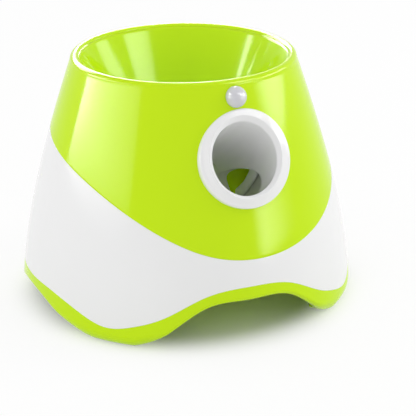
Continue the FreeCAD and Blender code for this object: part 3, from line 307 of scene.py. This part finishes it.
def loop_mesh(name, rows, closed=True):
    """Mesh from rows of points that go round; the profile is a closed loop, or its ends are filled."""
    count, width = len(rows), len(rows[0])
    faces = []
    for i in range(count if closed else count - 1):
        j = (i + 1) % count
        for k in range(width):
            m = (k + 1) % width
            faces.append((i * width + k, i * width + m, j * width + m, j * width + k))
    mesh = bpy.data.meshes.new(name)
    mesh.from_pydata(np.concatenate(rows).tolist(), [], faces)
    piece = link(name, mesh)
    close_up(piece, fill=not closed)
    return piece


def circle_outline(radius, count):
    """Points of a circle, from +X towards +Y."""
    return [(radius * math.cos(2 * math.pi * k / count), radius * math.sin(2 * math.pi * k / count))
            for k in range(count)]


def cut(piece, outline, depth, matrix):
    """Cut a hole with an outline in local XY, from -depth to depth along local Z, in millimetres."""
    count = len(outline)
    points = [(x * MM, y * MM, z * MM) for z in (-depth, depth) for x, y in outline]
    faces = [tuple(range(count))[::-1], tuple(range(count, 2 * count))]
    faces += [(k, (k + 1) % count, count + (k + 1) % count, count + k) for k in range(count)]
    mesh = bpy.data.meshes.new("hole_tool")
    mesh.from_pydata(points, [], faces)
    mesh.transform(matrix)
    tool = link("hole_tool", mesh)
    hole = piece.modifiers.new("hole", "BOOLEAN")
    hole.operation = "DIFFERENCE"
    hole.solver = "EXACT"
    hole.object = tool
    bpy.context.view_layer.update()
    graph = bpy.context.evaluated_depsgraph_get()
    mesh = bpy.data.meshes.new_from_object(piece.evaluated_get(graph))
    piece.modifiers.clear()
    piece.data = mesh
    bpy.data.objects.remove(tool)


# ================================================================ materials
def material(name, colour, roughness, specular=0.5, metallic=0.0):
    """A material, its node tree and its shader."""
    made = bpy.data.materials.new(name)
    made.use_nodes = True
    shader = made.node_tree.nodes["Principled BSDF"]
    shader.inputs["Base Color"].default_value = (*colour, 1.0)
    shader.inputs["Roughness"].default_value = roughness
    shader.inputs["Specular IOR Level"].default_value = specular
    shader.inputs["Metallic"].default_value = metallic
    return made, made.node_tree, shader


def add(tree, kind, inputs=None, **settings):
    """A node with its settings and the values of its inputs."""
    node = tree.nodes.new(kind)
    for name, value in settings.items():
        setattr(node, name, value)
    for name, value in (inputs or {}).items():
        node.inputs[name].default_value = value
    return node


def noise(tree, scale, detail=2.0):
    """Noise that stays with the piece."""
    place = add(tree, "ShaderNodeTexCoord")
    texture = add(tree, "ShaderNodeTexNoise", {"Scale": scale, "Detail": detail, "Roughness": 0.5})
    tree.links.new(place.outputs["Object"], texture.inputs["Vector"])
    return texture.outputs["Fac"]


def bump(tree, shader, height, strength, distance):
    node = add(tree, "ShaderNodeBump", {"Strength": strength, "Distance": distance})
    tree.links.new(height, node.inputs["Height"])
    tree.links.new(node.outputs["Normal"], shader.inputs["Normal"])


def vary_roughness(tree, shader, low, high, scale):
    span = add(tree, "ShaderNodeMapRange", {"To Min": low, "To Max": high})
    tree.links.new(noise(tree, scale, 4.0), span.inputs["Value"])
    tree.links.new(span.outputs["Result"], shader.inputs["Roughness"])


def vary_colour(tree, shader, dark, light, scale):
    mix = add(tree, "ShaderNodeMix", data_type="RGBA")
    mix.inputs[6].default_value = (*dark, 1.0)
    mix.inputs[7].default_value = (*light, 1.0)
    tree.links.new(noise(tree, scale, 3.0), mix.inputs[0])
    tree.links.new(mix.outputs[2], shader.inputs["Base Color"])


def varied(name, colour, roughness, low, high, scale, metallic=0.0):
    """A material whose roughness drifts between two values."""
    made, tree, shader = material(name, colour, roughness, metallic=metallic)
    vary_roughness(tree, shader, low, high, scale)
    return made, tree, shader


def moulded(name, dark, light, low, high, specular):
    """Glossy moulded plastic: faint flow marks in colour, gloss and surface."""
    made, tree, shader = material(name, light, low, specular)
    vary_colour(tree, shader, dark, light, 14.0)
    vary_roughness(tree, shader, low, high, 60.0)
    bump(tree, shader, noise(tree, 90.0, 1.0), strength=0.25, distance=6e-6)
    return made


def grey_nylon():
    """Satin gear plastic."""
    made, tree, shader = varied("grey_nylon", (0.62, 0.62, 0.59), 0.42, low=0.36, high=0.50, scale=300.0)
    bump(tree, shader, noise(tree, 1500.0), strength=0.2, distance=2e-5)
    return made


def dark_plastic():
    """Matt plastic with a fine spark-eroded grain."""
    made, tree, shader = varied("dark_plastic", (0.02, 0.02, 0.022), 0.4, low=0.34, high=0.46, scale=200.0)
    bump(tree, shader, noise(tree, 2500.0), strength=0.35, distance=3e-5)
    return made


def rubber():
    """Dull rubber with a coarse grain."""
    made, tree, shader = material("rubber", (0.018, 0.018, 0.018), 0.75, 0.3)
    vary_colour(tree, shader, (0.014, 0.014, 0.014), (0.03, 0.03, 0.03), 220.0)
    bump(tree, shader, noise(tree, 900.0, 6.0), strength=0.5, distance=6e-5)
    return made


def metal(name, colour, roughness, low, high, scale):
    """Bright metal with uneven polish."""
    return varied(name, colour, roughness, low, high, scale, metallic=1.0)[0]


def circuit_board():
    made, tree, shader = material("pcb", (0.01, 0.11, 0.04), 0.35)
    vary_colour(tree, shader, (0.008, 0.09, 0.03), (0.02, 0.15, 0.06), 400.0)
    return made


def cell_wrap():
    return varied("cell_wrap", (0.03, 0.035, 0.05), 0.25, low=0.2, high=0.34, scale=120.0)[0]


def led():
    made, tree, shader = varied("led", (0.8, 0.85, 0.8), 0.1, low=0.06, high=0.15, scale=300.0)
    shader.inputs["Transmission Weight"].default_value = 0.5
    return made


def lens():
    """Milky lens of many small facets."""
    made, tree, shader = material("lens", (0.62, 0.62, 0.65), 0.16, 0.4)
    place = add(tree, "ShaderNodeTexCoord")
    cells = add(tree, "ShaderNodeTexVoronoi", {"Scale": 330.0, "Randomness": 0.35},
                feature="DISTANCE_TO_EDGE")
    tree.links.new(place.outputs["Object"], cells.inputs["Vector"])
    clamp = add(tree, "ShaderNodeMapRange", {"From Max": 0.18})
    tree.links.new(cells.outputs["Distance"], clamp.inputs["Value"])
    bump(tree, shader, clamp.outputs["Result"], strength=0.5, distance=1.2e-4)
    shader.inputs["Subsurface Weight"].default_value = 0.6
    shader.inputs["Subsurface Radius"].default_value = (0.004, 0.004, 0.004)
    return made


def make_materials():
    """One finish for each material slot."""
    return {
        "green_shell": moulded("green_shell", dark=(0.52, 0.765, 0.004), light=(0.54, 0.785, 0.005),
                               low=0.09, high=0.13, specular=0.15),
        "white_shell": moulded("white_shell", dark=(0.79, 0.79, 0.795), light=(0.81, 0.81, 0.81),
                               low=0.10, high=0.15, specular=0.11),
        "grey_nylon": grey_nylon(),
        "dark_plastic": dark_plastic(),
        "rubber": rubber(),
        "steel": metal("steel", (0.42, 0.42, 0.44), 0.3, low=0.24, high=0.4, scale=500.0),
        "zinc": metal("zinc", (0.66, 0.67, 0.70), 0.2, low=0.16, high=0.3, scale=400.0),
        "brass": metal("brass", (0.66, 0.44, 0.16), 0.25, low=0.2, high=0.35, scale=400.0),
        "pcb": circuit_board(),
        "cell_wrap": cell_wrap(),
        "led": led(),
        "lens": lens(),
    }


def finish_nodes(materials):
    """Give every CAD node its slot's finish."""
    slots = {s["node"]: s["material_slot"] for s in frame["record"]["subparts"]}
    for name, node in frame["nodes"].items():
        made = materials[slots[name]]
        for i in range(len(node.material_slots)):
            node.material_slots[i].material = made
        if not node.material_slots:
            node.data.materials.append(made)


def settle(piece, node, slot, materials):
    """The piece takes a node's place and body, with a slot's finish."""
    piece.data.materials.append(materials[slot])
    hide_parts(node)
    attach(piece, "housing")


# ================================================================ shells
def upper_shell(materials):
    """Green top with the rounded rim, and the hole for the ring's collar."""
    low = TOP + SEAM / 2
    rows = [skin(low + (INNER_TOP_Z - low) * (1 - i / 10), WALL) for i in range(10)]
    rows += [ring(body_r(low) - WALL + EDGE * i / 2, low) for i in range(2)]
    rows += rounded_edge(low, 1)
    rows += [skin(low + EDGE + (ROUND_Z - low - EDGE) * i / 60) for i in range(1, 60)]
    rows += [ring(*rim_roll(i / 24)) for i in range(25)]
    end_r, end_z = rim_roll(1.0)
    rows.append(ring(end_r + RIM_TUCK[0], end_z + RIM_TUCK[1]))
    piece = loop_mesh("upper_shell_skin", rows)
    cut(piece, circle_outline(COLLAR_R + COLLAR_GAP, 96), COLLAR_CUT, LAUNCH)
    settle(piece, "upper_shell", "green_shell", materials)


def lower_shell(materials):
    """White body between the seams, with its lip and the holes for the panel and the socket."""
    low, high = BASE + SEAM / 2, TOP - SEAM / 2
    inner = high - INNER_DROP
    rows = [skin(inner + (low - inner) * i / 24, WALL) for i in range(1, 25)]
    rows += rounded_edge(low, 1)
    rows += [skin(low + EDGE + (high - low - 2 * EDGE) * i / 60) for i in range(1, 60)]
    rows += rounded_edge(high, -1)
    rows += [skin(high, LIP_INSET), skin(high + LIP_RISE, LIP_INSET)]
    rows += [skin(high + LIP_RISE, LIP_BACK), skin(high - LIP_ROOT, LIP_BACK)]
    piece = loop_mesh("lower_shell_skin", rows)
    straight = PANEL_HALF_W - PANEL_R
    pill = [(x + (straight if x > 0 else -straight), y) for x, y in circle_outline(PANEL_R, 64)]
    cut(piece, pill, REAR_CUT, PANEL)
    cut(piece, circle_outline(JACK_R, 48), REAR_CUT, JACK)
    settle(piece, "lower_shell", "white_shell", materials)


def base_skirt(materials):
    """Green base: a skirt that rolls under, more so at the feet, with its tongue behind the seam."""
    low, high = np.maximum(LOW, SOLE_Z), BASE - SEAM / 2
    foot = np.clip(1 - (low - SOLE_Z) / FOOT_FADE, 0, 1)
    foot = foot * foot * (3 - 2 * foot)
    roll = np.minimum(ARCH_ROLL + (FOOT_ROLL - ARCH_ROLL) * foot, (high - low) * ROLL_SHARE)
    start, sole_r = low + roll, body_r(low + roll)
    rows = []
    for i in range(9):
        a = math.pi / 2 * i / 8
        rows.append(ring(sole_r - roll + roll * math.sin(a), start - roll * math.cos(a)))
    rows += [skin(start + (high - EDGE - start) * i / 16) for i in range(1, 16)]
    rows += rounded_edge(high, -1)
    tongue = np.maximum(TONGUE_TOP, high + TONGUE_MIN)
    rows += [skin(high, TONGUE_IN), skin(tongue, TONGUE_IN), skin(tongue, SKIRT_T)]
    rows.append(skin(np.minimum(low + SOLE_T + RAMP_H * foot, tongue - 1), SKIRT_T))
    inner = np.maximum(SKIRT_T, roll + ROLL_LAND) * (1 - foot) + SOLE_IN * foot
    rows += [ring(sole_r - inner, low + SOLE_T * foot + SOLE_EDGE), ring(sole_r - inner, low)]
    piece = loop_mesh("base_skirt_skin", rows)
    settle(piece, "base_skirt", "green_shell", materials)


def hopper_bowl(materials):
    """Cone from the rim, which swings over to the drain beside the middle."""
    top_r, top_z = rim_roll(1.0)
    stations = []             # radius, height, and how far over to the drain
    for i in range(25):
        t = i / 24
        stations.append((top_r + (CONE_R - top_r) * t, top_z + (CONE_Z - top_z) * t, 0.0))
    for i in range(1, 17):
        t = i / 16
        stations.append((CONE_R + (DRAIN_R - CONE_R) * t, CONE_Z + (DRAIN_Z - CONE_Z) * t, t))
    values = np.array(stations)
    for _ in range(6):        # soften the bend between the two cones
        values[12:-1] = (values[11:-2] + 2 * values[12:-1] + values[13:]) / 4
    rows = [ring(r, z, (DRAIN_X * t, DRAIN_Y * t)) for r, z, t in values]
    rows += [ring(r, DRAIN_Z - DRAIN_DROP, (DRAIN_X, DRAIN_Y)) for r in (DRAIN_R, DRAIN_R + DRAIN_EDGE)]
    rows += [ring(r + BOWL_T, z - BOWL_SINK, (DRAIN_X * t, DRAIN_Y * t)) for r, z, t in values[::-1][1:-3]]
    rows.append(ring(top_r + BOWL_TUCK[0], top_z + BOWL_TUCK[1]))
    piece = loop_mesh("hopper_bowl_skin", rows)
    settle(piece, "hopper_bowl", "green_shell", materials)


# ================================================================ outlet and sensor
def outlet_ring(materials):
    """Flange with a round shoulder, a bevel and the start of the bore, which leans more steeply."""
    face = RING @ Vector((0, 0, RING_PROUD * MM))
    side, up, normal = (RING.to_3x3() @ Vector(v) for v in ((1, 0, 0), (0, 1, 0), (0, 0, 1)))
    angles = [2 * math.pi * k / 160 for k in range(160)]

    def flange(radius, depth):
        """Circle behind the face."""
        middle = face - normal * depth * MM + side * RING_SHIFT * MM
        return np.array([middle + (side * math.cos(a) + up * math.sin(a)) * radius * MM for a in angles])

    def bore(radius, depth):
        """Where a cylinder on the launch axis meets a plane parallel to the face."""
        plane = face - normal * depth * MM
        starts = [(MOUTH + around(a) * radius) * MM for a in angles]
        return np.array([s + ALONG * ((plane - s).dot(normal) / ALONG.dot(normal)) for s in starts])

    def past_tube_start(a):
        """Just inside the launch tube, at one angle round the bore."""
        reach = 0.0
        while stands_off((MOUTH + ALONG * reach + around(a) * TUBE_R) * MM) > -(WALL + TUBE_INSET):
            reach += 0.5
        return (MOUTH + ALONG * (reach + RING_LAP) + around(a) * BORE_R) * MM

    proud = np.array([stands_off(p) for p in flange(RING_R, 0.0)])
    back = -np.array(normal)[None, :] * (np.maximum(proud - RING_EDGE, 0) * RING_WRAP)[:, None] * MM
    rows = [flange(RING_R, depth) for depth in RING_SIDE]
    for i in range(7):
        a = math.pi / 2 * i / 6
        rows.append(flange(RING_R - RING_ROUND * (1 - math.cos(a)), RING_ROUND * (1 - math.sin(a))) + back)
    lip_r = TUBE_R + RING_BEVEL
    shoulder, lip = rows[-1], bore(lip_r, 0.0)
    rows += [shoulder + (lip - shoulder) * t for t in (0.3, 0.6, 0.85)]
    for radius, depth in ((lip_r + 0.2, 0.0), (lip_r - 0.15, 0.2),        # soft edge of the bevel
                          (TUBE_R + 0.4, 2.7), (TUBE_R + 0.05, 3.0), (BORE_R, 3.4)):
        rows.append(bore(radius, depth))
    bore_start, end = rows[-1], np.array([past_tube_start(a) for a in angles])
    rows += [bore_start + (end - bore_start) * t for t in (0.25, 0.5, 0.75, 0.99)]
    outward = np.array([around(a) for a in angles])
    rows += [end, end + outward * (COLLAR_R - COLLAR_STEP - BORE_R) * MM]
    piece = loop_mesh("outlet_ring_skin", rows)
    settle(piece, "outlet_ring", "white_shell", materials)


def sensor_lens(materials):
    """Dome on a short neck."""
    neck_r = SENSOR_R - SENSOR_NECK
    profile = [(neck_r, -SENSOR_NECK_L), (neck_r, 0.0), (SENSOR_R, 0.0)]
    for i in range(15):
        a = math.pi / 2 * i / 14.5          # the last row leaves a small flat at the top
        profile.append((SENSOR_R * math.cos(a), SENSOR_LIFT + SENSOR_R * math.sin(a)))
    circle = circle_outline(1.0, 48)
    rows = [np.array([SENSOR @ (Vector((radius * x, radius * y, z)) * MM) for x, y in circle])
            for radius, z in profile]
    piece = loop_mesh("sensor_lens_skin", rows, closed=False)
    settle(piece, "sensor_lens", "lens", materials)


# Section of a ribbon as (part of the way across, lift): rounded on the side towards the launch axis
RIBBON = ((0, 0), (0.1, -0.7), (0.3, -1), (0.7, -1), (0.9, -0.7), (1, 0), (1, 1), (0, 1))


def ribbon(name, slot, materials, radius, thick, left, right):
    """Curved strip between two lines of (along, degrees from the top) points round the launch axis."""
    lines = []
    for line in (left, right):
        places = np.array(line)
        t = np.linspace(0, len(line) - 1, 33)
        lines.append(np.stack([np.interp(t, range(len(line)), places[:, k]) for k in (0, 1)], 1))
    for _ in range(4):        # soften the corners between the points
        for line in lines:
            line[1:-1] = (line[:-2] + 2 * line[1:-1] + line[2:]) / 4
    rows = []
    for a, b in zip(*lines):
        edge = []
        for t, lift in RIBBON:
            s, turn = a + (b - a) * t
            out = around(math.radians(90 - turn)) * (radius + lift * thick / 2)
            edge.append((MOUTH + ALONG * s + out) * MM)
        rows.append(np.array(edge))
    piece = loop_mesh(name, rows, closed=False)
    piece.data.materials.append(materials[slot])
    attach(piece, "housing")


def pocket_details(materials):
    """Pale vane across the side pocket's mouth, the ledge behind it, and beside them a thin dark strip
    that paints the shade of a slot.
    """
    ribbon("pocket_vane", "white_shell", materials, radius=33.5, thick=2.4,
           left=[(56, 69), (66, 73.5), (79, 77), (94, 77), (110, 73)],
           right=[(47, 83), (60, 88), (74, 90.5), (85, 92), (98, 91.5)])
    ribbon("pocket_ledge", "grey_nylon", materials, radius=36.5, thick=1.6,
           left=[(48, 73), (61, 78), (75, 81), (86, 82), (99, 81)],
           right=[(26, 100), (36, 114), (50, 122), (66, 126), (82, 126)])
    # Painted shade: a thin dark plastic strip stands where a slot's shade would fall, with no opening
    # behind it.
    ribbon("painted_slot_shade", "dark_plastic", materials, radius=33.0, thick=1.2,
           left=[(101, 53), (94, 58), (93.5, 65), (97.5, 71.5)],
           right=[(104, 57), (100, 61.5), (100, 66), (101, 71)])


# ================================================================ drive
def drive_spring(materials):
    """Coil between the striker and the tube's end cap, built at one length; the real one squashes as the
    striker is drawn back.
    """
    sides, count = 10, SPRING_TURNS * 40
    length = TUBE_END - STRIKER_BACK_S - 2 * SPRING_WIRE
    rows = []
    for k in range(count + 1):
        t = k / count
        out = around(2 * math.pi * SPRING_TURNS * t)
        centre = MOUTH + ALONG * (STRIKER_BACK_S + SPRING_WIRE + length * t) + out * SPRING_R
        rows.append(np.array([(centre + (out * x + ALONG * y)) * MM
                              for x, y in circle_outline(SPRING_WIRE, sides)]))
    piece = loop_mesh("drive_spring_coil", rows, closed=False)
    settle(piece, "drive_spring", "steel", materials)
    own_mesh(piece)


# ================================================================ stage, light and camera
def seen_directly(tree):
    """One for what the camera sees, straight or through a reflection or glass."""
    path = add(tree, "ShaderNodeLightPath")
    total = path.outputs["Is Camera Ray"]
    for name in ("Is Glossy Ray", "Is Transmission Ray"):
        larger = add(tree, "ShaderNodeMath", operation="MAXIMUM")
        tree.links.new(total, larger.inputs[0])
        tree.links.new(path.outputs[name], larger.inputs[1])
        total = larger.outputs[0]
    return total


def stage():
    """Paper floor that keeps the shadow near the object; further out it glows plain white to the camera,
    painted light that washes out the shadow there.
    """
    corners = [(x * FLOOR_HALF, y * FLOOR_HALF, 0) for x, y in ((-1, -1), (1, -1), (1, 1), (-1, 1))]
    mesh = bpy.data.meshes.new("floor")
    mesh.from_pydata(corners, [], [(0, 1, 2, 3)])
    floor = link("floor", mesh)
    made, tree, shader = material("floor_paper", FLOOR_LIT, 0.9, 0.0)
    glow = add(tree, "ShaderNodeEmission", {"Color": (*FLOOR_SEEN, 1.0)})
    place = add(tree, "ShaderNodeTexCoord")
    reach = add(tree, "ShaderNodeVectorMath", operation="LENGTH")
    tree.links.new(place.outputs["Object"], reach.inputs[0])
    near, far = FLOOR_GLOW_FROM
    span = add(tree, "ShaderNodeMapRange", {"From Min": near, "From Max": far, "To Max": FLOOR_GLOW},
               interpolation_type="SMOOTHSTEP")
    tree.links.new(reach.outputs["Value"], span.inputs["Value"])
    share = add(tree, "ShaderNodeMath", operation="MULTIPLY")
    tree.links.new(seen_directly(tree), share.inputs[0])
    tree.links.new(span.outputs["Result"], share.inputs[1])
    mix = add(tree, "ShaderNodeMixShader")
    tree.links.new(share.outputs[0], mix.inputs[0])
    tree.links.new(shader.outputs[0], mix.inputs[1])
    tree.links.new(glow.outputs[0], mix.inputs[2])
    tree.links.new(mix.outputs[0], tree.nodes["Material Output"].inputs["Surface"])
    mesh.materials.append(made)


def world():
    """White to the camera and in reflections; what lights the object is a little lower."""
    made = bpy.data.worlds.new("studio")
    bpy.context.scene.world = made
    made.use_nodes = True
    tree = made.node_tree
    tree.nodes.clear()
    lit = add(tree, "ShaderNodeBackground", {"Color": (1, 1, 1, 1), "Strength": WORLD_LIGHT})
    seen = add(tree, "ShaderNodeBackground", {"Color": (1, 1, 1, 1)})
    both = add(tree, "ShaderNodeMixShader")
    tree.links.new(seen_directly(tree), both.inputs[0])
    tree.links.new(lit.outputs[0], both.inputs[1])
    tree.links.new(seen.outputs[0], both.inputs[2])
    output = add(tree, "ShaderNodeOutputWorld")
    tree.links.new(both.outputs[0], output.inputs["Surface"])


def card_material(name):
    """Emission whose strength is read from the card's vertices."""
    made = bpy.data.materials.new(name)
    made.use_nodes = True
    tree = made.node_tree
    tree.nodes.clear()
    read = add(tree, "ShaderNodeAttribute", attribute_name="glow")
    light = add(tree, "ShaderNodeEmission")
    output = add(tree, "ShaderNodeOutputMaterial")
    tree.links.new(read.outputs["Fac"], light.inputs["Strength"])
    tree.links.new(light.outputs[0], output.inputs["Surface"])
    return made


def softbox(name, start, end, low, high, across, up):
    """Curved card that glows in reflections, with its radiance kept at its vertices."""
    columns, levels = 25, 13
    points, glow = [], []
    for i in range(levels):
        v = i / (levels - 1)
        for k in range(columns):
            t = k / (columns - 1)
            a = math.radians(start + (end - start) * t)
            points.append((CARD_R * math.sin(a), -CARD_R * math.cos(a), low + (high - low) * v))
            glow.append(float(np.interp(t, *zip(*across)) * np.interp(v, *zip(*up))))
    faces = [(i * columns + k, i * columns + k + 1, (i + 1) * columns + k + 1, (i + 1) * columns + k)
             for i in range(levels - 1) for k in range(columns - 1)]
    mesh = bpy.data.meshes.new(name)
    mesh.from_pydata(points, [], faces)
    mesh.attributes.new("glow", "FLOAT", "POINT").data.foreach_set("value", glow)
    mesh.materials.append(card_material(name))
    card = link(name, mesh)
    card.visible_camera = card.visible_diffuse = card.visible_shadow = False
    card.visible_transmission = card.visible_volume_scatter = False


def fill(name, azimuth, low, high, radiance):
    """Upright panel that lights the object softly and isn't seen in it."""
    a = math.radians(azimuth)
    data = bpy.data.lights.new(name, "AREA")
    data.shape = "RECTANGLE"
    data.size, data.size_y = FILL_WIDTH, high - low
    data.energy = radiance * FILL_WIDTH * (high - low) * math.pi
    lamp = link(name, data)
    lamp.location = Vector((FILL_DISTANCE * math.sin(a), -FILL_DISTANCE * math.cos(a), (low + high) / 2))
    lamp.rotation_euler = (math.pi / 2, 0, a)
    lamp.visible_glossy = False


def lights():
    for name, values in SOFTBOXES.items():
        softbox(name, *values)
    for name, values in FILLS.items():
        fill(name, *values)


def camera():
    """Long lens from the front left, a little tilted."""
    az, el = math.radians(CAMERA_AZIMUTH), math.radians(CAMERA_ELEVATION)
    back = Vector((math.sin(az) * math.cos(el), -math.cos(az) * math.cos(el), math.sin(el)))
    right = Vector((math.cos(az), math.sin(az), 0))
    up = back.cross(right)
    roll = math.radians(CAMERA_ROLL)
    x_axis = right * math.cos(roll) + up * math.sin(roll)
    y_axis = up * math.cos(roll) - right * math.sin(roll)
    data = bpy.data.cameras.new("camera")
    data.lens = CAMERA_LENS
    data.sensor_width = FILM_WIDTH
    data.clip_end = CAMERA_REACH
    eye = link("camera", data)
    eye.matrix_world = Matrix((x_axis, y_axis, back)).transposed().to_4x4()
    eye.location = right * CAMERA_AIM[0] + Vector((0, 0, CAMERA_AIM[1])) + back * CAMERA_DISTANCE
    bpy.context.scene.camera = eye


# ================================================================ build
MATERIALS = make_materials()
finish_nodes(MATERIALS)
upper_shell(MATERIALS)
lower_shell(MATERIALS)
base_skirt(MATERIALS)
hopper_bowl(MATERIALS)
outlet_ring(MATERIALS)
sensor_lens(MATERIALS)
pocket_details(MATERIALS)
drive_spring(MATERIALS)
stage()
world()
lights()
camera()
bpy.context.scene.view_settings.view_transform = "Standard"
